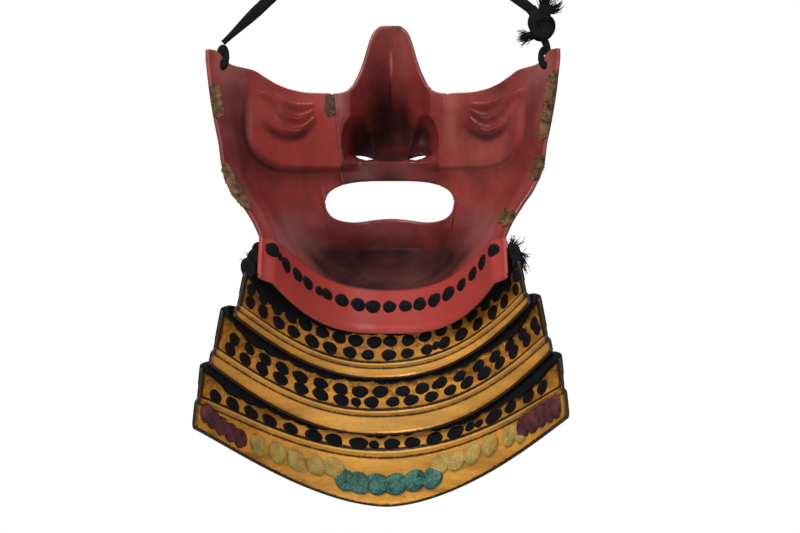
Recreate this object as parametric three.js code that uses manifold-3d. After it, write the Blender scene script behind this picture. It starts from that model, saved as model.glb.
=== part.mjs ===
// Samurai face guard: an iron half mask with a removable nose, and a laced throat guard
// of three gilt lames, hanging by a flat cord tied through its ear holes.
// Millimetres. +X to the wearer's right, +Y the way the face looks, +Z up.
// The mask is drawn about its own centre plane, with y = 0 at its rear edges and z = 0 at
// the corners of the mouth, and is then lowered so that the cord's loop hangs from the origin.
import * as THREE from 'three';
import { mergeVertices } from 'three/addons/utils/BufferGeometryUtils.js';
import Module from 'manifold-3d';

const wasm = await Module();
wasm.setup();

// ---------- driving dimensions ----------
const HANG_POINT = [0, 9, 136.6]; // inner top of the cord's loop, seen from the mask's own centre
const HALF_SWEEP = 65 * Math.PI / 180; // each row is this much of an ellipse to each side
const PLATE = 2; // wall of the mask
const GILT_PLATE = 1.8; // wall of a lame
const GAP = 0.3; // clearance between pieces that touch
const LACE = 1.5; // thickness of the laced curtains
const SEAM_GAP = 0.8; // joint between the nose and the mask
const RIM_WIDTH = 4; // turned-out strip along the rear edges
const SEAM_COLUMN = 0.2895; // where the nose's seam stands, as a share of the half row
const SEAM_SHARE = SEAM_GAP / 2 / 85; // half of that joint, as a share of the half row
const MOUTH_COLUMN = 0.4008; // where the mouth ends
const MOUTH_LINE_REAR_Z = 5.5; // height of the mouth's line at the rear edge
const CREASE_REAR_Z = -17; // height of the throat crease at the rear edge
const CREASE_FRONT_Z = -41.8; // and at the chin
const EAR_TIP_Z = 67.6;
const EAR_HOLE = { y: 9, z: 60.5, width: 7.8, height: 4.8 };
const NOSTRIL = { x: 13, y: 92.5, width: 7.8, depth: 7.6 };
const CHEEK = { x: 44, z: 38, reach: 22, depth: -1.5 };

// outlines of one side, as [distance from the centre plane, height]
const REAR_EDGE = [[79.2, 63.5], [77.4, 48], [75.2, 35], [73.2, 25], [72, 16], [67.8, 5.5],
  [62.3, -2.8], [57.8, -10], [54.6, -17]];
const CHEEK_TOP = [[26.5, 49.8], [29.5, 51.2], [38, 51.2], [45, 52.1], [51.5, 54.2], [57.5, 57.6],
  [61.5, 60], [70, 61.5], [73.4, 64.2], [76.5, 67.4], [79.2, 67.6]];
const NOSE_TOP = [[0, 84], [3.8, 83.9], [6.1, 82.4], [8, 79.5], [9.8, 74], [11.8, 66.8],
  [14.5, 59.7], [17.4, 54.6], [22.2, 52], [27.6, 51]];
const MOUTH_UPPER = [[0, 10.8], [12, 10.3], [22, 8.8], [27, 7], [30, 4.2], [31.5, 0.3]];
const MOUTH_LOWER = [[0, -8.8], [10, -9.8], [22.5, -10.2], [27, -8], [30.5, -3.5], [31.5, 0.3]];
// how far forward the mask stands on its centre line, as [share of the way down, depth]
const CHEEK_DEPTH = [[0, 84], [1, 90.5]];
const CHIN_DEPTH = [[0, 90.5], [0.15, 91.5], [0.4, 94], [0.6, 90], [0.8, 79], [1, 62]];
// the nose: ridge as [height, depth], and its half width as [height, width]
const NOSE_RIDGE = [[10.8, 90], [19, 90.6], [22, 96], [25, 102.5], [28.5, 109], [32, 113],
  [40, 108.5], [50, 101], [60, 95], [70, 90.5], [84, 86]];
const NOSE_WIDTH = [[20, 22], [30, 22.6], [40, 22], [50, 21], [60, 15.4], [75, 10.4], [84, 7]];
const NOSE_LEVELS = [48, 43, 37, 32, 28.5, 25, 22, 19.5, 16];

// the flange and the lames, each from its upper to its lower edge:
// half width, depth, height at the centre, height at the ends, and how the edge sags.
// The lames hang a little askew: each has a sideways shift and a lean up to the right.
const FLANGE = { top: { width: 54.6, depth: 62, mid: CREASE_FRONT_Z, end: CREASE_REAR_Z, sag: 2.5 },
  bottom: { width: 55.6, depth: 64, mid: -62.7, end: -36, sag: 3 } };
const LAMES = [
  { name: 'lame_1', hem: 0.78, shift: -0.4, lean: 0.045,
    top: { width: 61.6, depth: 68.6, mid: -57, end: -32, sag: 2.2 },
    bottom: { width: 65.6, depth: 72.4, mid: -84.3, end: -51, sag: 2.2 } },
  { name: 'lame_2', hem: 0.67, shift: -1, lean: 0.04,
    top: { width: 71.6, depth: 77.6, mid: -81, end: -49, sag: 2.2 },
    bottom: { width: 76.2, depth: 80.8, mid: -111.6, end: -73, sag: 2.2 } },
  { name: 'lame_3', hem: 0.36, shift: -1, lean: 0.03,
    top: { width: 81, depth: 86, mid: -108, end: -75.5, sag: 2.2 },
    bottom: { width: 83.6, depth: 90.6, mid: -146.6, end: -102, sag: 1.75 } },
];
const HEM_STEP = 1; // a lame's lower border stands this far out from its face
const LAME_COLUMNS = 20;
const CURTAINS = [
  { name: 'lacing_1', lame: 0, inner: 0.16, outer: 0.42 },
  { name: 'lacing_2', lame: 1, inner: 0.25, outer: 0.5 },
  { name: 'lacing_3', lame: 2, inner: 0.2, outer: 0.25 },
];
// rows of knots on the lowest lame: from and to as shares of the half row, and how far
// down the lame the row starts and ends
const PURPLE = 0x5a2e3c;
const CREAM = 0xb59a4e;
const TEAL = 0x2f6f6a;
const KNOT_ROWS = [
  { name: 'knots_purple_left', silk: PURPLE, from: -0.97, to: -0.75, knots: 5, height: 7.6, rise: 3.4, down: [0.7, 0.74] },
  { name: 'knots_cream_left', silk: CREAM, from: -0.66, to: -0.22, knots: 5, height: 5.5, rise: 2.6, down: [0.72, 0.62] },
  { name: 'knots_teal', silk: TEAL, from: -0.2, to: 0.24, knots: 6, height: 8.4, rise: 3.4, down: [0.7, 0.72] },
  { name: 'knots_cream_right', silk: CREAM, from: 0.27, to: 0.7, knots: 6, height: 5.5, rise: 2.6, down: [0.64, 0.7] },
  { name: 'knots_purple_right', silk: PURPLE, from: 0.74, to: 0.96, knots: 4, height: 9, rise: 4, down: [0.68, 0.7] },
];

// ---------- finishes ----------
const RED_LACQUER = new THREE.MeshStandardMaterial({ color: 0x8b2e2a, roughness: 0.3, metalness: 0 });
const GILT = new THREE.MeshStandardMaterial({ color: 0xd9963c, roughness: 0.4, metalness: 0.4 });
const LACING = new THREE.MeshStandardMaterial({ color: 0x10151a, roughness: 0.9, metalness: 0 });
const CORD = new THREE.MeshStandardMaterial({ color: 0x121412, roughness: 0.95, metalness: 0 });

// ---------- small tools ----------
const mix = (a, b, share) => a + (b - a) * share;

function along(list, at) {
  // straight-line reading of a list of [place, value] whose places rise or fall steadily
  const rising = list[list.length - 1][0] > list[0][0];
  const steps = rising ? list : [...list].reverse();
  if (at <= steps[0][0]) return steps[0][1];
  for (let i = 1; i < steps.length; i += 1) {
    if (at <= steps[i][0]) {
      const share = (at - steps[i - 1][0]) / (steps[i][0] - steps[i - 1][0]);
      return mix(steps[i - 1][1], steps[i][1], share);
    }
  }
  return steps[steps.length - 1][1];
}

const flip = (list) => list.map(([a, b]) => [b, a]);
const sideways = (column) => Math.sin(HALF_SWEEP * column) / Math.sin(HALF_SWEEP);
const forwards = (column) => (Math.cos(HALF_SWEEP * column) - Math.cos(HALF_SWEEP))
  / (1 - Math.cos(HALF_SWEEP));

function fade(near, far, value) {
  // 1 up to near, 0 from far on, with soft ends
  const share = Math.min(Math.max((value - near) / (far - near), 0), 1);
  return 1 - share * share * (3 - 2 * share);
}

function spread(from, to, count) {
  return Array.from({ length: count + 1 }, (_, i) => mix(from, to, i / count));
}

function solid(positions, triangles) {
  const geometry = new THREE.BufferGeometry();
  geometry.setAttribute('position', new THREE.Float32BufferAttribute(positions.flat(), 3));
  geometry.setIndex(triangles.flat());
  geometry.computeVertexNormals();
  return geometry;
}

function thicken(patches, thickness) {
  // joins grids of points along their common edges and gives them a wall on the side that
  // their normals point to; every open edge is closed by a strip
  const points = [];
  const seen = new Map();
  const triangles = [];
  const index = (p) => {
    const key = p.map((value) => value.toFixed(3)).join();
    if (!seen.has(key)) {
      seen.set(key, points.length);
      points.push(p);
    }
    return seen.get(key);
  };
  for (const rows of patches) {
    for (let r = 0; r + 1 < rows.length; r += 1) {
      for (let c = 0; c + 1 < rows[r].length; c += 1) {
        const [a, b, d, e] = [rows[r][c], rows[r][c + 1], rows[r + 1][c + 1], rows[r + 1][c]].map(index);
        if (a !== b && b !== d && a !== d) triangles.push([a, b, d]);
        if (a !== d && d !== e && a !== e) triangles.push([a, d, e]);
      }
    }
  }
  const normals = points.map(() => new THREE.Vector3());
  const corner = (i) => new THREE.Vector3(...points[i]);
  for (const [a, b, c] of triangles) {
    const normal = corner(b).sub(corner(a)).cross(corner(c).sub(corner(a)));
    for (const i of [a, b, c]) normals[i].add(normal);
  }
  const outer = points.map((p, i) => corner(i).addScaledVector(normals[i].normalize(), thickness).toArray());
  const count = points.length;
  const faces = [];
  const edges = new Map();
  for (const [a, b, c] of triangles) {
    faces.push([a, c, b], [a + count, b + count, c + count]);
    for (const [from, to] of [[a, b], [b, c], [c, a]]) edges.set(`${from}_${to}`, [from, to]);
  }
  for (const [from, to] of edges.values()) {
    if (!edges.has(`${to}_${from}`)) faces.push([from, to, to + count], [from, to + count, from + count]);
  }
  return solid([...points, ...outer], faces);
}

function sweep(rings) {
  // closed rings of points joined one to the next, with flat ends
  const size = rings[0].length;
  const faces = [];
  for (let r = 0; r + 1 < rings.length; r += 1) {
    for (let i = 0; i < size; i += 1) {
      const next = (i + 1) % size;
      const [a, b] = [r * size + i, r * size + next];
      faces.push([a, b, b + size], [a, b + size, a + size]);
    }
  }
  return { positions: rings.flat(), faces };
}

function capped(rings, outline) {
  // a sweep whose ends are filled; outline is the ring's own flat shape
  const { positions, faces } = sweep(rings);
  const last = (rings.length - 1) * rings[0].length;
  const flat = outline.map(([x, y]) => new THREE.Vector2(x, y));
  const clockwise = (corners) => THREE.ShapeUtils.area(corners) < 0;
  for (const [a, b, c] of THREE.ShapeUtils.triangulateShape(flat, [])) {
    const near = [a, c, b];
    const far = [a + last, b + last, c + last];
    const turned = clockwise([flat[a], flat[b], flat[c]]) !== clockwise(flat);
    faces.push(turned ? near.reverse() : near, turned ? far.reverse() : far);
  }
  return outward(solid(positions, faces));
}

function outward(geometry) {
  // turns the faces round if the solid was wound inside out
  const p = geometry.attributes.position;
  const index = geometry.index.array;
  const corner = (i) => new THREE.Vector3().fromBufferAttribute(p, index[i]);
  let volume = 0;
  for (let i = 0; i < index.length; i += 3) volume += corner(i).dot(corner(i + 1).cross(corner(i + 2)));
  if (volume < 0) {
    for (let i = 0; i < index.length; i += 3) [index[i], index[i + 1]] = [index[i + 1], index[i]];
    geometry.computeVertexNormals();
  }
  return geometry;
}

function manifold(geometry) {
  const bare = geometry.clone();
  bare.deleteAttribute('normal');
  bare.deleteAttribute('uv');
  const merged = mergeVertices(bare, 1e-4);
  return new wasm.Manifold(new wasm.Mesh({ numProp: 3,
    vertProperties: new Float32Array(merged.attributes.position.array),
    triVerts: new Uint32Array(merged.index.array) }));
}

function geometryOf(body) {
  const mesh = body.getMesh();
  const geometry = new THREE.BufferGeometry();
  geometry.setAttribute('position', new THREE.BufferAttribute(Float32Array.from(mesh.vertProperties), 3));
  geometry.setIndex(new THREE.BufferAttribute(Uint32Array.from(mesh.triVerts), 1));
  geometry.computeVertexNormals();
  return geometry;
}

function rod(radiusX, radiusY, length, turn, place) {
  // an oval rod, for cutting a hole
  const geometry = new THREE.CylinderGeometry(1, 1, length, 10);
  geometry.scale(radiusX, 1, radiusY);
  geometry.rotateX(turn[0]);
  geometry.rotateZ(turn[1]);
  geometry.translate(...place);
  return manifold(geometry);
}

// ---------- the mask ----------
const CHEEK_TOP_REACH = REAR_EDGE[0][0];

function pressed({ x, y }, z, column) {
  // the cheeks are pressed out in a soft square, so they stand hollow inside
  const off = (Math.abs((Math.abs(x) - CHEEK.x) / CHEEK.reach) ** 2.6
    + Math.abs((z - CHEEK.z) / CHEEK.reach) ** 2.6) ** (1 / 2.6);
  const press = CHEEK.depth * fade(0.78, 1.02, off);
  const lean = HALF_SWEEP * column;
  return { x: x + press * Math.sin(lean), y: y + press * Math.cos(lean) };
}

function row(width, depth, column) {
  const side = sideways(column);
  const rim = fade(1, 0.9, Math.abs(column)) * RIM_WIDTH;
  return { x: (width - RIM_WIDTH) * side + Math.sign(side) * rim, y: depth * forwards(column) };
}

function mouthLine(column, upper) {
  const reach = along(REAR_EDGE.map(([w, z]) => [z, w]), MOUTH_LINE_REAR_Z);
  const x = Math.abs(row(reach, 1, column).x);
  const corner = MOUTH_UPPER[MOUTH_UPPER.length - 1];
  if (Math.abs(column) < MOUTH_COLUMN) return along(upper ? MOUTH_UPPER : MOUTH_LOWER, x);
  return mix(corner[1], MOUTH_LINE_REAR_Z, ((x - corner[0]) / (reach - corner[0])) ** 2);
}

function cheekPoint(column, down) {
  // a point between the top edge (down = 0) and the mouth's line (down = 1)
  const rear = mix(EAR_TIP_Z, MOUTH_LINE_REAR_Z, down);
  const top = along(CHEEK_TOP, Math.abs(row(CHEEK_TOP_REACH, 1, column).x));
  const z = mix(top, mouthLine(column, true), down);
  const flat = row(along(flip(REAR_EDGE), rear), along(CHEEK_DEPTH, down), column);
  const { x, y } = pressed(flat, z, column);
  return [x, y, z];
}

function chinPoint(column, down) {
  // a point between the mouth's line and the throat crease
  const rear = mix(MOUTH_LINE_REAR_Z, CREASE_REAR_Z, down);
  const { x, y } = row(along(flip(REAR_EDGE), rear), along(CHIN_DEPTH, down), column);
  const crease = sagging(FLANGE.top, column);
  return [x, y, mix(mouthLine(column, false), crease, down)];
}

function sagging(edge, column) {
  return mix(edge.mid, edge.end, Math.abs(sideways(column)) ** edge.sag);
}

function flangePoint(column, down) {
  const width = mix(FLANGE.top.width, FLANGE.bottom.width, down);
  const { x, y } = row(width, mix(FLANGE.top.depth, FLANGE.bottom.depth, down), column);
  return [x, y, mix(sagging(FLANGE.top, column), sagging(FLANGE.bottom, column), down)];
}

function facePlate() {
  const seam = SEAM_COLUMN + SEAM_SHARE;
  const side = [1, 0.95, 0.9, 0.82, 0.74, 0.66, 0.58, 0.5, 0.45, MOUTH_COLUMN, 0.35];
  const cheekColumns = [...side.map((c) => -c), -seam];
  const mouthColumns = spread(-0.3, 0.3, 6);
  const chinColumns = [...side.map((c) => -c), ...mouthColumns, ...[...side].reverse()];
  const cheekRows = [0, 0.08, 0.2, 0.34, 0.48, 0.6, 0.7, 0.84, 1];
  const left = cheekRows.map((down) => cheekColumns.map((c) => cheekPoint(c, down)));
  const right = cheekRows.map((down) => [...cheekColumns].reverse().map((c) => cheekPoint(-c, down)));
  const chin = [0, 0.2, 0.42, 0.62, 0.82, 1].map((down) => chinColumns.map((c) => chinPoint(c, down)));
  const flange = [0, 0.5, 1].map((down) => chinColumns.map((c) => flangePoint(c, down)));
  let body = manifold(thicken([left, right, chin, flange], PLATE));
  for (const hand of [-1, 1]) {
    body = body.subtract(rod(EAR_HOLE.height / 2, EAR_HOLE.width / 2, 16, [0, Math.PI / 2],
      [hand * REAR_EDGE[0][0], EAR_HOLE.y, EAR_HOLE.z]));
  }
  return geometryOf(body);
}

function nosePiece() {
  const edge = SEAM_COLUMN - SEAM_SHARE;
  const shares = [0, 0.15, 0.23, 0.3, 0.37, 0.45, 0.54, 0.65, 0.78, 0.9, 1];
  const across = [...shares.slice(1).map((s) => -s).reverse(), ...shares];
  const base = (column, z) => {
    const down = Math.min(Math.max((51.3 - z) / 42.5, 0), 1);
    const rear = mix(EAR_TIP_Z, MOUTH_LINE_REAR_Z, down);
    const flat = row(along(flip(REAR_EDGE), rear), along(CHEEK_DEPTH, down), column);
    return { ...pressed(flat, z, column), middle: along(CHEEK_DEPTH, down) };
  };
  const nosePoint = (share, level) => {
    const column = share * edge;
    const top = along(NOSE_TOP, Math.abs(base(column, 60).x));
    const lip = along(MOUTH_UPPER, Math.abs(base(column, 10).x));
    let z = lip;
    if (level > NOSE_LEVELS[0]) z = mix(NOSE_LEVELS[0], top, (level - NOSE_LEVELS[0]) / 10);
    else if (level > lip) z = level;
    const lift = z > 17 && z < 28 ? 3.5 * Math.abs(share) ** 3 : 0;
    const { x, y, middle } = base(column, z + lift);
    const reach = Math.abs(x) / along(NOSE_WIDTH, z);
    const power = mix(2.6, 1.3, Math.min(Math.max((z - 25) / 40, 0), 1));
    const rise = reach < 1 ? (1 - reach ** power) ** mix(0.7, 1, Math.min(Math.max((z - 20) / 40, 0), 1)) : 0;
    return [x, y + (along(NOSE_RIDGE, z) - middle) * rise, z + lift];
  };
  const levels = [58, 55.5, 53, 50.5, ...NOSE_LEVELS, 0];
  let body = manifold(thicken([levels.map((level) => across.map((s) => nosePoint(s, level)))], PLATE));
  for (const hand of [-1, 1]) {
    body = body.subtract(rod(NOSTRIL.width / 2, NOSTRIL.depth / 2, 16, [Math.PI / 2, 0],
      [hand * NOSTRIL.x, NOSTRIL.y, 21]));
  }
  return geometryOf(body);
}

// ---------- the throat guard ----------
function lamePoint(lame, down, out, column) {
  // a point of a lame: down from its upper to its lower edge, and out from its inner face
  const { top, bottom } = lame;
  const x = (mix(top.width, bottom.width, down) + out) * sideways(column);
  const y = (mix(top.depth, bottom.depth, down) + out) * forwards(column);
  const z = mix(sagging(top, column), sagging(bottom, column), down) + lame.lean * x;
  return [x + lame.shift, y, z];
}

function lameSweep(lame, section, columns) {
  return capped(columns.map((c) => section.map(([out, down]) => lamePoint(lame, down, out, c))), section);
}

function lamePlate(lame) {
  const { hem } = lame;
  const wall = GILT_PLATE;
  const section = [[0, 0], [0, hem - 0.04], [HEM_STEP, hem + 0.05], [HEM_STEP, 1],
    [HEM_STEP + wall, 1], [HEM_STEP + wall, hem], [wall, hem - 0.09], [wall, 0]];
  return lameSweep(lame, section, spread(-1, 1, LAME_COLUMNS));
}

function curtain({ lame, inner, outer }) {
  // lacing folded over the lame's upper edge: a short leg inside and a longer one outside
  const near = -GAP;
  const far = GILT_PLATE + GAP;
  const over = 0.01;
  const section = [[near - LACE, inner], [near - LACE, -0.02], [near - LACE / 2, -0.07],
    [far + LACE / 2, -0.07], [far + LACE, -0.02], [far + LACE, outer], [far, outer], [far, -over],
    [near, -over], [near, inner]];
  return lameSweep(LAMES[lame], section, spread(-1.0, 1.0, LAME_COLUMNS));
}

function knotRow({ from, to, knots, height, rise, down }) {
  // a row of soft knots run together: the strip swells at each knot and draws in between
  const lame = LAMES[2];
  const arch = [[0, -1], [0.7, -0.75], [1, 0], [0.7, 0.75], [0, 1]];
  const rings = spread(from, to, knots * 2).map((column, i) => {
    const swell = i % 2 === 1 ? 1 : 0.5;
    const tall = sagging(lame.top, column) - sagging(lame.bottom, column);
    const middle = mix(down[0], down[1], i / (knots * 2));
    return arch.map(([out, up]) => lamePoint(lame, middle + up * swell * height / 2 / tall,
      HEM_STEP - GAP - out * rise * mix(0.6, 1, swell), column));
  });
  return capped(rings, arch);
}

// ---------- the hanging cord ----------
const CORD_WIDTH = 4.6;
const CORD_THICKNESS = 1.8;
const CORD_STEPS = 34;
// one side of the run over the nail, from the loop's top outwards
const CORD_TOP = [[0, HANG_POINT[2] + CORD_WIDTH / 2], [4.2, 137.4], [9, 132.4]];
const EAR_LOOPS = [
  { name: 'ear_loop_left', hand: -1, top: 68.4, reach: 4.3 },
  { name: 'ear_loop_right', hand: 1, top: 70.5, reach: 5 },
];
const KNOT = { x: 73.2, y: 8, z: 78.6, width: 9, depth: 7, height: 13 };
const FRAYS = [
  { name: 'cord_end_upper', x: 77, z: 88, width: 8.5, height: 8 },
  { name: 'cord_end_lower', x: 64.4, z: 73.2, width: 8, height: 6 },
];

function octagon(width, height) {
  const corner = Math.cos(Math.PI / 8);
  return spread(0, 7, 7).map((i) => {
    const angle = (i + 0.5) * Math.PI / 4;
    return [width / 2 * Math.cos(angle) / corner, height / 2 * Math.sin(angle) / corner];
  });
}

function hangingCord() {
  // the flat cord runs straight from each ear up to the nail and bends round over it
  const left = [-73.8, 71.6];
  const right = [68.6, 86];
  const points = [left, ...[...CORD_TOP].reverse().map(([x, z]) => [-x, z]), ...CORD_TOP.slice(1), right];
  const corners = points.map(([x, z]) => new THREE.Vector3(x, HANG_POINT[1], z));
  const bend = new THREE.CatmullRomCurve3(corners, false, 'centripetal');
  const shape = new THREE.Shape(octagon(CORD_THICKNESS, CORD_WIDTH).map(([a, b]) => new THREE.Vector2(a, b)));
  return new THREE.ExtrudeGeometry(shape, { steps: CORD_STEPS, extrudePath: bend });
}

function earLoop({ hand, top, reach }) {
  // a closed loop of the cord through the ear hole and over the edge above it
  const wall = { x: 73.8 * hand, z: EAR_HOLE.z };
  const middle = (top + wall.z) / 2;
  const rings = spread(0, 2 * Math.PI, 14).slice(0, -1).map((angle) => {
    const out = new THREE.Vector2(Math.cos(angle), Math.sin(angle));
    const centre = [wall.x + 1 * hand + hand * reach * out.x, middle + (top - middle) * out.y];
    return octagon(CORD_THICKNESS, CORD_WIDTH - 0.6).map(([a, b]) => [
      centre[0] + hand * a * out.x, EAR_HOLE.y + b, centre[1] + a * out.y]);
  });
  const { positions, faces } = sweep([...rings, rings[0]]);
  return outward(mergeVertices(solid(positions, faces), 1e-4));
}

function lump(width, depth, height, place) {
  const geometry = new THREE.SphereGeometry(0.5, 10, 7);
  geometry.scale(width, depth, height);
  geometry.translate(...place);
  return geometry;
}

// ---------- assembly ----------
const guard = new THREE.Group();
guard.position.set(-HANG_POINT[0], -HANG_POINT[1], -HANG_POINT[2]);

function add(name, geometry, material) {
  const mesh = new THREE.Mesh(geometry, material.clone());
  mesh.name = name;
  guard.add(mesh);
}

add('face_plate', facePlate(), RED_LACQUER);
add('nose_piece', nosePiece(), RED_LACQUER);
for (const lame of LAMES) add(lame.name, lamePlate(lame), GILT);
for (const item of CURTAINS) add(item.name, curtain(item), LACING);
for (const item of KNOT_ROWS) {
  add(item.name, knotRow(item), new THREE.MeshStandardMaterial({ color: item.silk, roughness: 0.85 }));
}

add('hanging_cord', hangingCord(), CORD);
for (const item of EAR_LOOPS) add(item.name, earLoop(item), CORD);
add('cord_knot', lump(KNOT.width, KNOT.depth, KNOT.height, [KNOT.x, KNOT.y, KNOT.z]), CORD);
for (const { name, x, z, width, height } of FRAYS) {
  add(name, lump(width, KNOT.depth, height, [x, KNOT.y, z]), CORD);
}

export default guard;
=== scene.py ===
import math
import bpy
import numpy as np
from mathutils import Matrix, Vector


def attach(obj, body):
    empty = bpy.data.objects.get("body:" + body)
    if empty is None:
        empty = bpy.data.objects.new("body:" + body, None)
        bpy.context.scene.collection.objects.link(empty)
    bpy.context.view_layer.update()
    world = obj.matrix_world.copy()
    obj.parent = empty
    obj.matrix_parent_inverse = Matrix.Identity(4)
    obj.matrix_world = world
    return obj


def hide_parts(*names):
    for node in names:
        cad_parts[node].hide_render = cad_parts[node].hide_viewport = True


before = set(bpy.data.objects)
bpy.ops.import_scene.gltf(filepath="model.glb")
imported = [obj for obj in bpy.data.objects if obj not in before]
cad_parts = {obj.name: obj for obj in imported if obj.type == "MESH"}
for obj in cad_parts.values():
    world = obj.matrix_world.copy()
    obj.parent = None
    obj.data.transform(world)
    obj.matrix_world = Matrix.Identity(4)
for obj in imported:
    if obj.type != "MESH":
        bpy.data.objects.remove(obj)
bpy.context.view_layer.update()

# The guard is worked out in millimetres about its own centre plane, with y = 0 at the mask's
# rear edges and z = 0 at the corners of the mouth, then moved so that the top of its hanging
# cord is the frame's origin.
HANG_POINT = np.array([0.0, 9.0, 136.6])
MM = 0.001
BODY = "root"

# ---------- shape of the mask ----------
HALF_SWEEP = math.radians(65)
PLATE = 2.0
GILT_PLATE = 1.8
RIM_WIDTH = 4.0
EAR_TIP_Z = 67.6
MOUTH_LINE_REAR_Z = 5.5
CREASE_REAR_Z = -17.0
SEAM_COLUMN = 0.2895
SEAM_SHARE = 0.0028
MOUTH_COLUMN = 0.4008
MOUTH_REACH = 31.5
MOUTH_CORNER_Z = 0.3
LIP_HEIGHT = 10.5
LIP_DROP, LIP_DROP_MORE = 9.1, 2.1
CHIN_START_Z = -9.8
REAR_EDGE = ((79.2, 67.6), (79.2, 63.5), (77.4, 48), (75.2, 35), (73.2, 25), (72, 16), (67.8, 5.5),
             (62.3, -2.8), (57.8, -10), (54.6, -17))
CHEEK_TOP = ((26.5, 50.2), (29.5, 51.2), (38, 51.2), (45, 52.1), (51.5, 54.2), (57.5, 57.6),
             (61.5, 60), (70, 61.5), (73.4, 64.2), (76.5, 67.4), (79.2, 67.6))
NOSE_TOP = ((0, 84), (3.8, 83.9), (6.1, 82.4), (8, 79.5), (9.8, 74), (11.8, 66.8),
            (14.5, 59.7), (17.4, 54.6), (22.2, 52), (27.6, 51))
CHEEK_DEPTH = ((0, 84), (1, 90.5))
CHIN_DEPTH = ((0, 90.5), (0.15, 91.5), (0.4, 94), (0.6, 90), (0.8, 79), (1, 62))


def mix(a, b, share):
    """a + (b - a) share: a at share 0 and b at share 1."""
    return a + (b - a) * share


def step(low, high, at):
    """0 up to low and 1 from high on, with the soft cubic 3q^2 - 2q^3 between. low may be the
    larger of the two."""
    q = np.clip((at - low) / (high - low), 0, 1)
    return q * q * (3 - 2 * q)


def hump(off, reach):
    """1 where off is 0, falling to 0 at reach as (1 - q^2)^2."""
    q = np.clip(np.abs(off) / reach, 0, 1)
    return (1 - q * q) ** 2


def smooth(table, at):
    """Reads a table of (place, value) with cubics whose slopes never overshoot the points."""
    x, y = np.array(sorted(table), float).T
    at = np.clip(np.asarray(at, float), x[0], x[-1])
    rise = np.diff(y) / np.diff(x)
    both = rise[1:] * rise[:-1]
    inner = np.where(both > 0, 2 * both / np.where(both > 0, rise[1:] + rise[:-1], 1), 0)
    slope = np.concatenate([rise[:1], inner, rise[-1:]])
    i = np.clip(np.searchsorted(x, at, side="right") - 1, 0, len(x) - 2)
    h = x[i + 1] - x[i]
    s = (at - x[i]) / h
    return ((2 * s**3 - 3 * s**2 + 1) * y[i] + (s**3 - 2 * s**2 + s) * h * slope[i]
            + (3 * s**2 - 2 * s**3) * y[i + 1] + (s**3 - s**2) * h * slope[i + 1])


def flipped(table):
    """A table read the other way round."""
    return tuple((b, a) for a, b in table)


def sideways(column):
    """How far out a column is: sin(65 c) / sin(65), in degrees, from -1 to 1."""
    return np.sin(HALF_SWEEP * column) / math.sin(HALF_SWEEP)


def forwards(column):
    """How far forward a column is: (cos(65 c) - cos(65)) / (1 - cos(65)), 0 at the ends."""
    return (np.cos(HALF_SWEEP * column) - math.cos(HALF_SWEEP)) / (1 - math.cos(HALF_SWEEP))


def plan(width, depth, column):
    """A row of the mask in plan: part of an ellipse, with its last millimetres turned out."""
    rim = step(0.93, 1, np.abs(column)) * RIM_WIDTH
    side = sideways(column)
    return (width - RIM_WIDTH) * side + np.sign(column) * rim, depth * forwards(column)


REAR_WIDTH = flipped(REAR_EDGE[1:])
MOUTH_LINE_REACH = float(smooth(REAR_WIDTH, MOUTH_LINE_REAR_Z))


def upper_lip(share):
    """Height of the lip above the corner: 10.5 (1 - s^3.2)^0.5 at share s of the way out."""
    return LIP_HEIGHT * np.sqrt(np.clip(1 - share**3.2, 0, 1))


def lower_lip(share):
    """Fuller towards its ends than in the middle: -(9.1 to 11.2) (1 - s^6)^0.5."""
    drop = LIP_DROP + LIP_DROP_MORE * step(0, 0.6, share)
    return -drop * np.sqrt(np.clip(1 - share**6, 0, 1))


def mouth_line(column, lip):
    """Height of the line through the mouth: its lip inside the corners, and a rising curve
    from each corner to the rear edge."""
    inside = MOUTH_CORNER_Z + lip(np.abs(column) / MOUTH_COLUMN)
    x = np.abs(plan(MOUTH_LINE_REACH, 1, column)[0])
    beyond = mix(MOUTH_CORNER_Z, MOUTH_LINE_REAR_Z,
                 np.clip((x - MOUTH_REACH) / (MOUTH_LINE_REACH - MOUTH_REACH), 0, 1) ** 2)
    return np.where(np.abs(column) < MOUTH_COLUMN, inside, beyond)


# the panel under each eye: where its rounded corner starts, how far the corner reaches out
# and down from there, how square it is, and how far the panel is raised
PANEL = {"x": 44, "z": 38, "out": 20.3, "down": 22.7, "square": 2.6, "raised": 2.0}


def panel_edge(x, z):
    """1 on the edge of the panel under each eye, less inside: (a^2.6 + b^2.6)^(1 / 2.6), where
    a and b are the shares of the corner's reach out and down."""
    square = PANEL["square"]
    out = np.clip((np.abs(x) - PANEL["x"]) / PANEL["out"], 0, None)
    down = np.clip((PANEL["z"] - z) / PANEL["down"], 0, None)
    return (out**square + down**square) ** (1 / square)


def cheek_panel(x, z):
    """The panel is raised 2 mm, with a crisp edge, as far as the seam beside the nose."""
    out = np.abs(x)
    inside = step(1.03, 0.94, panel_edge(x, z)) * step(15, 24, out) * step(66, 50, z + 0.25 * out)
    return PANEL["raised"] * inside


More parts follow.
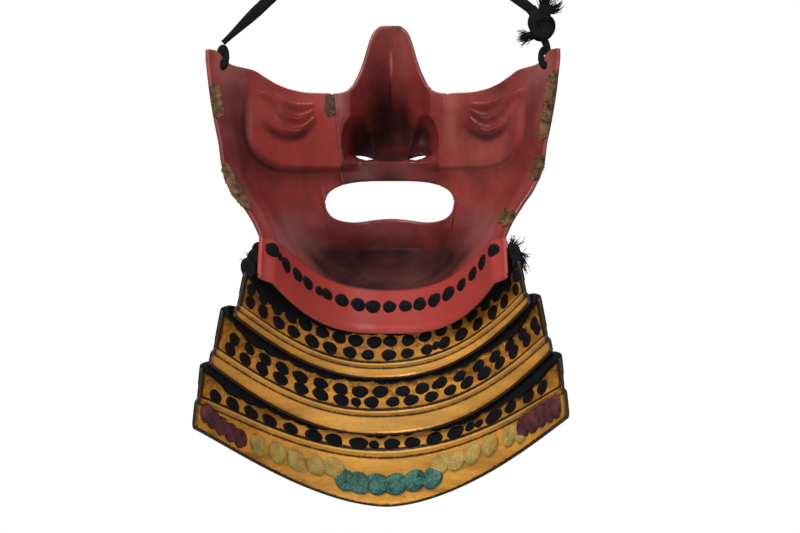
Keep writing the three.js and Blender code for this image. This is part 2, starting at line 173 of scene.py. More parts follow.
# folds under the eyes: each is a crest line of (distance out, height), how far it stands in
# from the cheek, and how far below its crest it has sunk back
EYE_FOLDS = (
    (((36.5, 46.9), (41.1, 46.4), (44.4, 46.4), (48, 47.2), (50.5, 49), (53, 51)), 1.35, 4.5),
    (((37.2, 43.8), (40.3, 42.4), (44.5, 41.1), (47.8, 41.4), (50.5, 43.6), (53.5, 47.7),
      (56.4, 49.9), (61, 51.8)), 1.6, 5.0),
    (((41, 40.4), (45.7, 39.2), (48.2, 39.7), (51.2, 42.2), (54.8, 46.7)), 0.75, 3.0),
    (((36.6, 40.5), (39.9, 38), (42.6, 36.3), (46.7, 35.1), (49.7, 36.2), (52.6, 38.5),
      (54.8, 42.1)), 1.8, 4.5),
    (((42, 34.6), (46.1, 33.3), (48.7, 33.7), (51.1, 34.8), (54, 38.3)), 0.95, 4.5),
)


def eye_folds(x, z):
    """Each fold steps in sharply at its crest line and sinks back below it. The folds on the
    wearer's right lie 2.2 mm further out and are 2% wider."""
    out = np.where(x > 0, (np.abs(x) - 2.2) * 0.98, np.abs(x))
    total = np.zeros_like(out)
    for crest, rise, sink in EYE_FOLDS:
        first, last = crest[0][0], crest[-1][0]
        below = smooth(crest, out) - z
        taper = step(first - 1.5, first + 3, out) * step(last + 1, last - 4, out)
        total += rise * taper * step(-0.3, 0.3, below) * step(sink, 0.3, below)
    return total


def pressed(x, y, z, column):
    """Moves a point of the plain mask in for the panel under the eye and for its folds."""
    press = -cheek_panel(x, z) - eye_folds(x, z)
    lean = HALF_SWEEP * column
    return x + press * np.sin(lean), y + press * np.cos(lean)


def cheek_surface(column, down):
    """From the mask's upper edge to the line through the mouth: each row is an ellipse in plan
    whose width is read from the rear edge and whose depth from CHEEK_DEPTH."""
    rear = mix(EAR_TIP_Z, MOUTH_LINE_REAR_Z, down)
    top = smooth(CHEEK_TOP, np.abs(plan(REAR_EDGE[0][0], 1, column)[0]))
    z = mix(top, mouth_line(column, upper_lip), down)
    x, y = plan(smooth(REAR_WIDTH, rear), smooth(CHEEK_DEPTH, down), column)
    x, y = pressed(x, y, z, column)
    return np.stack([x, y, z], -1)


FLANGE_TOP = {"width": 54.6, "depth": 62, "mid": -41.8, "end": CREASE_REAR_Z, "sag": 2.5}
FLANGE_FOOT = {"width": 55.6, "depth": 64, "mid": -62.7, "end": -36, "sag": 3.0}


def sagging(edge, column):
    """Height of an edge that hangs lower in its middle: mid + (end - mid) |sideways|^sag."""
    return mix(edge["mid"], edge["end"], np.abs(sideways(column)) ** edge["sag"])


def chin_surface(column, down):
    """The chin runs on evenly from the cheeks: its profile starts at a smooth line that dips
    below the mouth and meets the rear edges where the line through the mouth does."""
    crease = sagging(FLANGE_TOP, column)
    z = mix(mouth_line(column, lower_lip), crease, down)
    start = mix(CHIN_START_Z, MOUTH_LINE_REAR_Z, np.abs(sideways(column)) ** 3)
    share = np.clip((start - z) / (start - crease), 0, 1)
    rear = mix(MOUTH_LINE_REAR_Z, CREASE_REAR_Z, down)
    x, y = plan(smooth(REAR_WIDTH, rear), smooth(CHIN_DEPTH, share), column)
    return np.stack([x, y, z], -1)


def flange_surface(column, down, out=0.0):
    """The flange, with a bead along its foot."""
    out = out - 0.7 * hump(down - 0.955, 0.05)
    x, y = plan(mix(FLANGE_TOP["width"], FLANGE_FOOT["width"], down) + out,
                mix(FLANGE_TOP["depth"], FLANGE_FOOT["depth"], down) + out, column)
    z = mix(sagging(FLANGE_TOP, column), sagging(FLANGE_FOOT, column), down)
    return np.stack([x, y, z], -1)


# ---------- shape of the nose ----------
# (height, how far forward the ridge lies), (height, the bridge's half width) and (level, height)
NOSE_RIDGE = ((10.8, 90), (20, 92), (25, 108), (30, 113), (40, 108.5), (50, 101), (60, 95),
              (70, 90.5), (84, 86))
BRIDGE_WIDTH = ((10, 10), (24, 11), (32, 14), (40, 19), (50, 19.5), (60, 15.4), (75, 10.4), (84, 7))
NOSE_LEVELS = ((1, 48), (1.25, 38), (1.5, 28), (1.66, 23.4), (1.8, 20), (1.86, 18.8), (1.92, 15),
               (2, 10))
BRIDGE_FOOT_Z = 48
NOSTRIL = {"x": 13.0, "y": 92.4, "width": 9.4, "depth": 6.7}
FLOOR_Z, FLOOR_RISE = 19.2, 2.05
# the pocket on each side of the bridge: its middle, how far it reaches and how deep it is
WING = {"x": 15.0, "z": 29, "wide": 8.2, "above": 13.5, "below": 16, "high": 18}


def nose_surface(share, level):
    """level 0 is the nose's top edge, 1 the foot of the bridge and 2 the upper lip. The
    hollow is the larger of a bridge with a sharp middle line and a pocket on each side, and
    its floor rises by 1 mm in each 2.05 mm forwards."""
    column = share * (SEAM_COLUMN - SEAM_SHARE)
    at = np.abs(plan(REAR_EDGE[0][0], 1, column)[0])
    top = smooth(NOSE_TOP, at)
    lip = mouth_line(column, upper_lip)
    lower = smooth(NOSE_LEVELS, level) + (lip - 10) * step(1.8, 2, level)
    z = np.where(level < 1, mix(top, BRIDGE_FOOT_Z, level), lower)
    z = z + 2.2 * np.abs(share) ** 3 * hump(z - 21, 6)
    down = np.clip((51.3 - z) / 42.5, 0, 1)
    x, y = plan(smooth(REAR_WIDTH, mix(EAR_TIP_Z, MOUTH_LINE_REAR_Z, down)),
                smooth(CHEEK_DEPTH, down), column)
    x, y = pressed(x, y, z, column)
    out = np.abs(x)
    high = np.maximum(smooth(NOSE_RIDGE, z) - smooth(CHEEK_DEPTH, down), 0)
    reach = np.clip(out / smooth(BRIDGE_WIDTH, z), 0, 1)
    upper = step(25, 50, z)
    bridge = high * (1 - reach ** mix(1.7, 1.2, upper)) ** mix(0.9, 1.1, upper)
    tall = np.where(z > WING["z"], WING["above"], WING["below"])
    round_off = ((out - WING["x"]) / WING["wide"]) ** 2 + ((z - WING["z"]) / tall) ** 2
    wing = WING["high"] * np.clip(1 - round_off, 0, 1) ** 0.62
    rise = (bridge**4 + wing**4) ** 0.25
    floor = FLOOR_RISE * np.maximum(z - FLOOR_Z, 0) + 0.02
    rise = (np.maximum(rise, 0.01) ** -7.0 + floor**-7.0) ** (-1 / 7.0)
    return np.stack([x, y + rise, z], -1)


# ---------- shape of the throat guard ----------
LAMES = (
    {"name": "lame_1", "hem": (0.78, 0.0), "shift": -0.4, "lean": 0.045,
     "top": {"width": 61.6, "depth": 68.6, "mid": -57, "end": -32, "sag": 2.2},
     "foot": {"width": 65.6, "depth": 72.4, "mid": -84.3, "end": -51, "sag": 2.2}},
    {"name": "lame_2", "hem": (0.67, 0.07), "shift": -1, "lean": 0.04,
     "top": {"width": 71.6, "depth": 77.6, "mid": -81, "end": -49, "sag": 2.2},
     "foot": {"width": 76.2, "depth": 80.8, "mid": -111.6, "end": -73, "sag": 2.2}},
    {"name": "lame_3", "hem": (0.35, 0.18), "shift": -1, "lean": 0.03,
     "top": {"width": 81, "depth": 86, "mid": -108, "end": -75.5, "sag": 2.2},
     "foot": {"width": 83.6, "depth": 90.6, "mid": -146.6, "end": -102, "sag": 1.75}},
)
HEM_STEP = 1.0


def lame_surface(lame, column, down, out=0.0, plain=False):
    """A point of a lame's inner face, or of a face that stands out from it. Its lower border
    is set out behind a raised bead."""
    top, foot = lame["top"], lame["foot"]
    hem = lame["hem"][0] + lame["hem"][1] * column**2
    if not plain:
        out = out + HEM_STEP * step(hem - 0.01, hem + 0.06, down)
        out = out - 0.7 * hump(down - hem + 0.02, 0.035) - 0.5 * hump(down - 1.0, 0.05)
    x = (mix(top["width"], foot["width"], down) + out) * sideways(column)
    y = (mix(top["depth"], foot["depth"], down) + out) * forwards(column)
    z = mix(sagging(top, column), sagging(foot, column), down) + lame["lean"] * x
    return np.stack([x + lame["shift"], y, z], -1)


def on_lame(number):
    """A lame's plain surface, without its ridge, as a function of column, down and out."""
    return lambda column, down, out=0.0: lame_surface(LAMES[number], column, down, out, plain=True)


# ---------- making meshes ----------
def grid(surface, columns, rows):
    """Points of a surface at every crossing of columns and rows."""
    column, row = np.meshgrid(columns, rows)
    return surface(column, row)


def grid_faces(rows, columns, wrap=False):
    """Quads of a grid of points, row by row; wrap joins each row's end to its start."""
    last = columns if wrap else columns - 1
    r, c = np.meshgrid(np.arange(rows - 1), np.arange(last), indexing="ij")
    here, beside = r * columns + c, r * columns + (c + 1) % columns
    return np.stack([here, beside, beside + columns, here + columns], -1).reshape(-1, 4)


def make_object(name, points, faces, marks=None, smooth_angle=50):
    """A mesh object from arrays: points in millimetres, faces as one array of corner numbers or
    a list of them, and marks as a number for each point."""
    mesh = bpy.data.meshes.new(name)
    mesh.vertices.add(len(points))
    mesh.vertices.foreach_set("co", ((points - HANG_POINT) * MM).astype(np.float32).ravel())
    faces = [np.asarray(f) for f in (faces if isinstance(faces, list) else [faces])]
    corners = np.concatenate([f.ravel() for f in faces])
    sizes = np.concatenate([np.full(len(f), f.shape[1]) for f in faces])
    mesh.loops.add(len(corners))
    mesh.loops.foreach_set("vertex_index", corners.astype(np.int32))
    mesh.polygons.add(len(sizes))
    starts = np.concatenate([[0], np.cumsum(sizes)[:-1]])
    mesh.polygons.foreach_set("loop_start", starts.astype(np.int32))
    mesh.update(calc_edges=True)
    mesh.shade_smooth()
    if smooth_angle:
        mesh.set_sharp_from_angle(angle=math.radians(smooth_angle))
    for key, values in (marks or {}).items():
        attribute = mesh.attributes.new(key, "FLOAT", "POINT")
        attribute.data.foreach_set("value", values.astype(np.float32))
    mesh.validate()
    piece = bpy.data.objects.new(name, mesh)
    bpy.context.collection.objects.link(piece)
    return piece


def weld(patches, marks):
    """Joins grids of points where they coincide. Returns points, faces and the marks."""
    points = np.concatenate([p.reshape(-1, 3) for p in patches])
    offsets = np.cumsum([0] + [p.shape[0] * p.shape[1] for p in patches])
    faces = np.concatenate([grid_faces(*p.shape[:2]) + o for p, o in zip(patches, offsets)])
    _, first, number = np.unique(np.round(points, 3), axis=0, return_index=True,
                                 return_inverse=True)
    number = number.ravel()
    return points[first], number[faces], {k: v[first] for k, v in marks.items()}


def unit(vectors):
    """The vectors at length 1."""
    return vectors / (np.linalg.norm(vectors, axis=-1, keepdims=True) + 1e-12)


def thicken(points, faces, wall, marks, rim_rows=3):
    """Gives a sheet a wall on the side its normals point to: a second sheet moved along them,
    and half-round strips along the free edges between the two. Adds the marks edge, 1 on the
    strips, and outer, from 0 on the first sheet to 1 on the second."""
    a, b, c, d = (points[faces[:, i]] for i in range(4))
    across = np.cross(c - a, d - b)
    normals = np.zeros_like(points)
    for i in range(4):
        np.add.at(normals, faces[:, i], across)
    normals = unit(normals)
    count = len(points)
    edges = np.concatenate([faces[:, [i, (i + 1) % 4]] for i in range(4)])
    there, back = edges[:, 0] * count + edges[:, 1], edges[:, 1] * count + edges[:, 0]
    rim = edges[~np.isin(there, back)]
    outward = np.zeros_like(points)
    away = unit(np.cross(points[rim[:, 1]] - points[rim[:, 0]],
                         normals[rim[:, 0]] + normals[rim[:, 1]]))
    for i in range(2):
        np.add.at(outward, rim[:, i], away)
    outward = unit(outward)
    on_rim = np.unique(rim)
    place = np.full(count, -1)
    place[on_rim] = np.arange(len(on_rim))
    layers, rings = [points, points + normals * wall], [rim]
    edge, outer = [np.zeros(2 * count)], [np.zeros(count), np.ones(count)]
    for row in range(1, rim_rows + 1):
        share = row / (rim_rows + 1)
        lift = (1 - math.cos(math.pi * share)) / 2 * wall
        swell = math.sin(math.pi * share) / 2 * wall * 0.8
        layers.append(points[on_rim] + normals[on_rim] * lift + outward[on_rim] * swell)
        rings.append(place[rim] + 2 * count + (row - 1) * len(on_rim))
        edge.append(np.ones(len(on_rim)))
        outer.append(np.full(len(on_rim), share))
    rings.append(rim + count)
    strips = [np.stack([low[:, 0], low[:, 1], high[:, 1], high[:, 0]], -1)
              for low, high in zip(rings, rings[1:])]
    index = np.concatenate([np.arange(count)] * 2 + [on_rim] * rim_rows)
    marks = {key: values[index] for key, values in marks.items()}
    marks["edge"], marks["outer"] = np.concatenate(edge), np.concatenate(outer)
    return np.concatenate(layers), np.concatenate([faces[:, ::-1], faces + count] + strips), marks


# ---------- materials ----------
DEEP_RED, CLEAR_RED = (0.150, 0.020, 0.017), (0.285, 0.043, 0.036)
# The second red here is painted light on lit parts; the first serves real scuffs and a painted
# sheen.
PALE_RED, LIT_RED = (0.44, 0.15, 0.12), (0.47, 0.058, 0.048)
# The first colour here is painted shade for the hollows; the second is real pits.
SHADOW_RED, PIT = (0.012, 0.004, 0.004), (0.03, 0.008, 0.006)
DARK_GROUND, PALE_GROUND = (0.02, 0.012, 0.008), (0.16, 0.085, 0.04)
BROWN_GOLD, CLEAR_GOLD = (0.36, 0.14, 0.016), (0.88, 0.385, 0.042)
# The second gold here is a painted highlight.
RUBBED_GOLD, HIGHLIGHT_GOLD = (0.17, 0.055, 0.01), (1.0, 0.60, 0.14)
# The first colour here is grime and painted shade on the lames; the second is a real stain.
GRIME_AND_SHADOW, LACE_STAIN = (0.022, 0.01, 0.004), (0.022, 0.009, 0.003)
BLACK_THREAD, BLUE_THREAD = (0.0008, 0.001, 0.002), (0.003, 0.0045, 0.009)


class Recipe:
    """A material being made. Each step returns its output socket, and takes numbers, colours
    or the sockets of earlier steps."""

    def __init__(self, name):
        self.material = bpy.data.materials.new(name)
        self.material.use_nodes = True
        self.nodes, self.links = self.material.node_tree.nodes, self.material.node_tree.links
        self.inputs = self.nodes["Principled BSDF"].inputs
        self.place = self.nodes.new("ShaderNodeTexCoord").outputs["Object"]

    def feed(self, socket, value):
        """Sets a socket to a number or colour, or wires an earlier step to it."""
        if isinstance(value, tuple):
            socket.default_value = (*value, 1)
        elif isinstance(value, (int, float)):
            socket.default_value = value
        else:
            self.links.new(value, socket)

    def noise(self, scale, detail, roughness, stretch=None):
        """Noise on the point's place, stretched by a factor for each axis."""
        place = self.place
        if stretch:
            mapping = self.nodes.new("ShaderNodeMapping")
            mapping.inputs["Scale"].default_value = stretch
            self.feed(mapping.inputs["Vector"], place)
            place = mapping.outputs["Vector"]
        node = self.nodes.new("ShaderNodeTexNoise")
        for key, value in (("Scale", scale), ("Detail", detail), ("Roughness", roughness),
                           ("Vector", place)):
            self.feed(node.inputs[key], value)
        return node.outputs["Fac"]

    def ramp(self, value, low, high, bottom=0.0, top=1.0):
        """Reads a value as bottom below low and top above high, straight between."""
        node = self.nodes.new("ShaderNodeMapRange")
        for key, number in (("Value", value), ("From Min", low), ("From Max", high),
                            ("To Min", bottom), ("To Max", top)):
            self.feed(node.inputs[key], number)
        return node.outputs["Result"]

    def blend(self, share, first, second):
        """The first colour at share 0 and the second at share 1."""
        node = self.nodes.new("ShaderNodeMix")
        node.data_type = "RGBA"
        for key, value in (("Factor", share), ("A", first), ("B", second)):
            self.feed(node.inputs[key], value)
        return node.outputs["Result"]

    def maths(self, operation, first, second):
        """One operation on two values, such as ADD or MULTIPLY."""
        node = self.nodes.new("ShaderNodeMath")
        node.operation = operation
        self.feed(node.inputs[0], first)
        self.feed(node.inputs[1], second)
        return node.outputs["Value"]

    def mark(self, name):
        """The number that the mesh carries for each point under this name."""
        node = self.nodes.new("ShaderNodeAttribute")
        node.attribute_name = name
        return node.outputs["Fac"]

    def bump(self, height, distance):
        """Tilts the surface as a height would that is distance metres for 1."""
        node = self.nodes.new("ShaderNodeBump")
        self.feed(node.inputs["Height"], height)
        self.feed(node.inputs["Distance"], distance)
        self.feed(node.inputs["Strength"], 1.0)
        self.feed(self.inputs["Normal"], node.outputs["Normal"])


def lacquer_material():
    """Glossy red over a dark ground, dulled by handling, with painted shade in its hollows, painted
    light and a painted sheen where it is lit, paler scuffs, and bare brown patches where it has
    come away."""
    to = Recipe("red_lacquer")
    cloud, speck = to.noise(38, 5, 0.62), to.noise(900, 3, 0.7)
    colour = to.blend(to.ramp(cloud, 0.35, 0.68), DEEP_RED, CLEAR_RED)
    # Partly real and partly painted light: paler red for scuffs and near the ear tops, a painted
    # sheen by the seam and painted highlights in the nose.
    pale = to.maths("MULTIPLY", to.mark("pale"), to.ramp(cloud, 0.3, 0.6, 0.5, 1.0))
    colour = to.blend(pale, colour, PALE_RED)
    # Painted light: a brighter red on the lit flange and on the lit panel on the wearer's left.
    colour = to.blend(to.mark("painted_light"), colour, LIT_RED)
    # Painted shade: by this mark the hollows turn nearly black, and there the lacquer is rougher
    # and reflects almost nothing.
    dark = to.maths("MULTIPLY", to.mark("painted_shade"), to.ramp(cloud, 0.25, 0.7, 1.0, 0.8))
    colour = to.blend(dark, colour, SHADOW_RED)
    colour = to.blend(to.ramp(speck, 0.70, 0.78, 0, 0.5), colour, PIT)
    ragged = to.noise(330, 6, 0.7)
    bare = to.ramp(to.maths("SUBTRACT", to.maths("ADD", to.mark("bare"), ragged), 1.0), -0.02, 0.02)
    ground = to.blend(to.ramp(to.noise(700, 4, 0.7), 0.35, 0.65), DARK_GROUND, PALE_GROUND)
    to.feed(to.inputs["Base Color"], to.blend(bare, colour, ground))
    gloss = to.ramp(to.noise(110, 4, 0.6), 0.3, 0.75, 0.26, 0.42)
    dull = to.maths("ADD", to.ramp(bare, 0, 1, 0, 0.5), to.ramp(dark, 0.78, 1, 0, 0.9))
    to.feed(to.inputs["Roughness"], to.maths("ADD", gloss, dull))
    to.feed(to.inputs["Specular IOR Level"], to.ramp(dark, 0.6, 1.0, 0.5, 0.02))
    pitted = to.maths("MULTIPLY", bare, to.ramp(ragged, 0, 1, -3, 1))
    to.bump(to.maths("ADD", to.ramp(to.noise(260, 4, 0.55), 0, 1, 0, 0.5), pitted), 0.00035)
    return to.material


def gilt_material():
    """Gold over brown lacquer, brushed along each lame and worn, darkened by grime and painted
    shade about its ridges and edges, with a painted highlight on its ridges and lower borders.
    """
    to = Recipe("worn_gilt")
    along = to.noise(60, 6, 0.66, (0.22, 0.22, 1.6))
    fine = to.noise(420, 5, 0.7)
    colour = to.blend(to.ramp(along, 0.38, 0.60), BROWN_GOLD, CLEAR_GOLD)
    colour = to.blend(to.ramp(fine, 0.56, 0.70, 0, 0.75), colour, RUBBED_GOLD)
    # Grime and painted shade: dark about the ridges and edges, where shade also falls.
    grime_and_shade = to.maths("ADD", to.mark("grime_and_shade"), to.ramp(fine, 0.3, 0.7, -0.25, 0.25))
    colour = to.blend(to.ramp(grime_and_shade, 0.3, 0.8), colour, GRIME_AND_SHADOW)
    # Painted highlight: a paler, brighter gold where the ridge and lower border catch the light.
    colour = to.blend(to.maths("MULTIPLY", to.mark("painted_highlight"), 0.8), colour, HIGHLIGHT_GOLD)
    to.feed(to.inputs["Base Color"], colour)
    to.feed(to.inputs["Metallic"], 0.35)
    to.feed(to.inputs["Roughness"], to.ramp(along, 0.3, 0.7, 0.34, 0.5))
    to.bump(to.maths("ADD", along, fine), 0.0003)
    return to.material


def silk_material(name, dark, light, roughness, fine=1500, bump=0.0002):
    """Thread: fine noise between two shades, with the threads themselves modelled or as bump."""
    to = Recipe(name)
    thread, wide = to.noise(fine, 3, 0.6), to.noise(160, 3, 0.6)
    share = to.ramp(to.maths("ADD", thread, wide), 0.75, 1.25)
    to.feed(to.inputs["Base Color"], to.blend(share, dark, light))
    to.feed(to.inputs["Roughness"], roughness)
    to.feed(to.inputs["Specular IOR Level"], 0.2)
    to.bump(thread, bump)
    return to.material


def lace_material():
    """Blue-black silk, with a brown stained skirt where a lace meets the plate."""
    to = Recipe("black_lacing")
    thread = to.noise(1300, 3, 0.6)
    black = to.blend(to.ramp(thread, 0.35, 0.7), BLACK_THREAD, BLUE_THREAD)
    to.feed(to.inputs["Base Color"], to.blend(to.mark("skirt"), black, LACE_STAIN))
    to.feed(to.inputs["Roughness"], 0.8)
    to.feed(to.inputs["Specular IOR Level"], 0.2)
    to.bump(thread, 0.00025)
    return to.material


worn_hide = silk_material("worn_hide", (0.022, 0.011, 0.006), (0.20, 0.10, 0.045), 0.85, 420,
                          0.0008)
red_lacquer = lacquer_material()
gilt = gilt_material()
black_silk = lace_material()
purple_silk = silk_material("purple_silk", (0.035, 0.008, 0.012), (0.16, 0.045, 0.055), 0.75)
cream_silk = silk_material("cream_silk", (0.30, 0.185, 0.035), (0.58, 0.42, 0.13), 0.75)
teal_silk = silk_material("teal_silk", (0.010, 0.05, 0.042), (0.10, 0.26, 0.20), 0.8, 700, 0.0005)
black_cord = silk_material("black_cord", (0.001, 0.0012, 0.001), (0.006, 0.0065, 0.006), 0.9)


def finish_piece(piece, material, slot, *nodes):
    """Gives a piece its material and the body it rides on, and hides the nodes it stands for. slot
    is not used.
    """
    piece.data.materials.append(material)
    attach(piece, BODY)
    if nodes:
        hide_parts(*nodes)
    return piece


# ---------- the mask ----------
def mask_marks(p):
    """Where the mask has painted shade, paler scuffs and a painted sheen, or bare patches, from a
    point's place alone: each mark is a sum of humps and steps in x, y and z, named for where it
    lies or what it is."""
    x, y, z = p.T
    out = np.abs(x)
    left = step(6, -6, x)
    # Painted shade: a painted shadow along and below the panel's lower edge, shade on the side
    # walls, a painted shadow under and within the folds, and shade low in the chin, by the upper
    # lip and on the wearer's left jaw.
    edge = panel_edge(x, z)
    line = hump(edge - 1.06, 0.08)
    shade = hump(np.maximum(edge - 1.06, 0), 0.4) * step(0.98, 1.05, edge)
    below_panel = 0.45 * (line + shade) * step(24, 42, out) * step(56, 34, z) * mix(0.35, 1, left)
    side = hump(out - 69, 4) * step(16, 28, z) * step(62, 50, z)
    under_folds = hump(z - 30.0 - 0.05 * (out - 47) ** 2, 4) * step(14, 6, np.abs(out - 47))
    in_folds = hump(out - 46, 12) * hump(z - 42, 8) * 0.3
    chin = (step(-12, -30, z) * step(34, 52, y) * step(70, 44, out)
            + 0.3 * step(0, -14, z) * step(60, 76, y))
    lip = hump(z - 12, 6) * step(36, 20, out) * step(58, 72, y) * 0.8
    jaw = hump(x + 62, 16) * hump(z - 5, 26) * 0.25
    painted_shade = below_panel + 0.3 * side + 0.85 * under_folds + in_folds + chin + lip + jaw
    # Paler near the ear tops and on the right cheek's real scuffs; the patch by the seam is a
    # painted sheen.
    ears = step(48, 62, z) * hump(out - 71, 9) * 0.6
    seam = hump(x - 29, 6) * step(20, 40, z) * 0.35
    scuffs = 0.28 * hump(x - 42, 24) * hump(z - 24, 22)
    rear = step(8, 2, y)
    torn = np.where(x < 0, hump(z - 44, 13) + hump(z - 7, 14),
                    hump(z - 44, 24) + hump(z - 14, 9) + hump(z + 9, 5))
    chip = hump(x + 28.3, 4.2) * hump(z - 46, 10) * 1.3
    bare = np.clip(np.maximum(rear * torn * 1.05, chip), 0, 1)
    return {"painted_shade": np.clip(painted_shade, 0, 1), "pale": np.clip(ears + seam + scuffs, 0, 1),
            "bare": bare}


def make_face():
    """Both cheeks, the chin and the flange as grids of their surfaces, joined and given a wall.
    Columns crowd towards the mouth's corner and the rear edge, and rows towards the folds."""
    seam = SEAM_COLUMN + SEAM_SHARE
    lip = MOUTH_COLUMN - seam
    cheek = np.concatenate([MOUTH_COLUMN - np.linspace(lip, 0, 24)[:-1] ** 2 / lip,
                            np.linspace(MOUTH_COLUMN, 0.78, 74)[:-1], np.linspace(0.78, 1, 32)])
    middle = np.linspace(-seam, seam, 66)[1:-1]
    rows = np.concatenate([np.linspace(0, 0.42, 62)[:-1], np.linspace(0.42, 1, 32)])
    left = grid(cheek_surface, -cheek[::-1], rows)
    right = grid(cheek_surface, cheek, rows)
    across = np.concatenate([-cheek[::-1], middle, cheek])
    chin = grid(chin_surface, across, np.linspace(0, 1, 42))
    flange = grid(flange_surface, across, np.linspace(0, 1, 16))
    place = np.concatenate([p.reshape(-1, 3) for p in (left, right, chin, flange)])
    marks = mask_marks(place)
    x, z = place[:, 0], place[:, 2]
    on_flange = np.arange(len(place)) >= len(place) - flange.shape[0] * flange.shape[1]
    left_panel = step(1.0, 0.9, panel_edge(x, z)) * step(10, -10, x)
    # Painted light: the flange is made a brighter red all over as lit, and the panel under the
    # wearer's left eye a little.
    marks["painted_light"] = np.where(on_flange, 0.8, 0.4 * left_panel)
    # On the flange only its two ends are darkened.
    marks["painted_shade"] = np.where(on_flange, 0.6 * step(60.5, 63, np.abs(x)), marks["painted_shade"])
    points, faces, marks = weld([left, right, chin, flange], marks)
    points, faces, marks = thicken(points, faces, PLATE, marks)
    piece = make_object("lacquered_mask", points, faces, marks=marks)
    return finish_piece(piece, red_lacquer, "red_lacquer", "face_plate")


# brown hide left at the rear edges: side, top and foot heights, how far it stands out, width
TORN = ((-1, 52, 36.5, 1.0, 4.6), (-1, 16, -5, 2.7, 5.0), (1, 57, 40, 0.8, 4.2),
        (1, 41, 27, 1.6, 5.0), (1, 18.5, 8.5, 1.8, 5.0), (1, -6.5, -11.5, 1.2, 6.5))


def make_torn_edges():
    """Scraps of the hide that covered the rear edges: flat bands down the edge, wandering
    sideways and uneven in width, and narrow at both ends."""
    random = np.random.default_rng(5)
    share = np.linspace(0, 1, 70)
    ends = step(0, 0.12, share) * step(1, 0.86, share)
    parts = []
    for hand, top, foot, out, width in TORN:
        z = mix(top, foot, share)
        wobble = np.interp(share, np.linspace(0, 1, 15), random.uniform(-1, 1, 15))
        x = hand * (smooth(REAR_WIDTH, z) + out + 0.4 * wobble - width / 2)
        centres = np.stack([x, -0.7 - 0.4 * wobble, z], -1)
        widths = width * mix(0.35, 1, ends) * (1 + 0.14 * random.uniform(-1, 1, 70))
        parts.append(flat_cord(centres, widths, 1.5, TOWARDS_FACE, 16, 0.0))
    points, faces = joined(parts)
    return finish_piece(make_object("torn_hide", points, faces), worn_hide, None)


def nose_marks(p):
    """Painted shade deep in the nose, in its pockets, on its floor, on the lip, on its left side
    and down its middle below the lit ridge; painted light on its middle line and sides; and a worn
    chip on its top edge, each a product of humps and steps."""
    x, y, z = p.T
    out = np.abs(x)
    # Painted shade: the hollow, pockets, floor and lip darkened, more on the left, with a dark line
    # down the middle below the lit ridge.
    deep = step(86, 108, y) * step(60, 34, z) * 0.9
    pocket = hump(out - 13.5, 10) * hump(z - 28, 14) * 0.75
    floor = step(27, 20, z) * step(88.5, 91, y)
    left = hump(x + 5, 8) * hump(z - 50, 28) * 0.7 + hump(x - 4, 8) * hump(z - 46, 18) * 0.4
    lip = 0.6 * step(20.5, 17, z) * step(91, 88, y)
    line = hump(x + 0.6, 1.0) * step(62, 56, z) * step(22, 30, z) * 0.6
    # Painted highlights: a lit patch high on the bridge's right, a lit strip on the left wall and a
    # thin bright line down the middle.
    lit = (0.35 * hump(x - 6, 7) * hump(z - 72, 16) + 0.4 * hump(x + 22, 4) * hump(z - 45, 9)
           + 1.2 * hump(x, 1.1) * hump(z - 67, 8))
    chip = hump(x - 3, 4) * hump(z - 84, 2.5) * 1.1
    painted_shade = deep + pocket + floor + left + line + lip
    return {"painted_shade": np.clip(painted_shade, 0, 1), "pale": np.clip(lit, 0, 1), "bare": np.clip(chip, 0, 1),
            "painted_light": np.zeros(len(p))}


def cut_nostrils(points, faces):
    """Leaves out the faces inside two ovals in plan and draws the edge left onto the ovals."""
    on_floor = points[:, 2] < 27
    size = np.array([NOSTRIL["width"], NOSTRIL["depth"]]) / 2
    for hand in (-1, 1):
        centre = np.array([hand * NOSTRIL["x"], NOSTRIL["y"]])
        off = (points[:, :2] - centre) / size
        far = np.linalg.norm(off, axis=1)
        inside = (far[faces].mean(1) < 1) & on_floor[faces].all(1)
        edge = np.intersect1d(faces[inside], faces[~inside])
        points[edge, :2] = centre + off[edge] / far[edge, None] * size
        faces = faces[~inside]
    used, number = np.unique(faces, return_inverse=True)
    return points[used], number.reshape(faces.shape)


def make_nose():
    """The nose's surface on a grid whose rows crowd towards its floor, with the nostrils cut
    and a wall."""
    shares = np.linspace(-1, 1, 125)
    levels = np.concatenate([np.linspace(0, 1, 50)[:-1], np.linspace(1, 1.56, 46)[:-1],
                             np.linspace(1.56, 1.86, 44)[:-1], np.linspace(1.86, 2, 14)])
    points, faces, _ = weld([grid(nose_surface, shares, levels)], {})
    points, faces = cut_nostrils(points, faces)
    points, faces, marks = thicken(points, faces, PLATE, nose_marks(points))
    piece = make_object("lacquered_nose", points, faces, marks=marks)
    return finish_piece(piece, red_lacquer, "red_lacquer", "nose_piece")


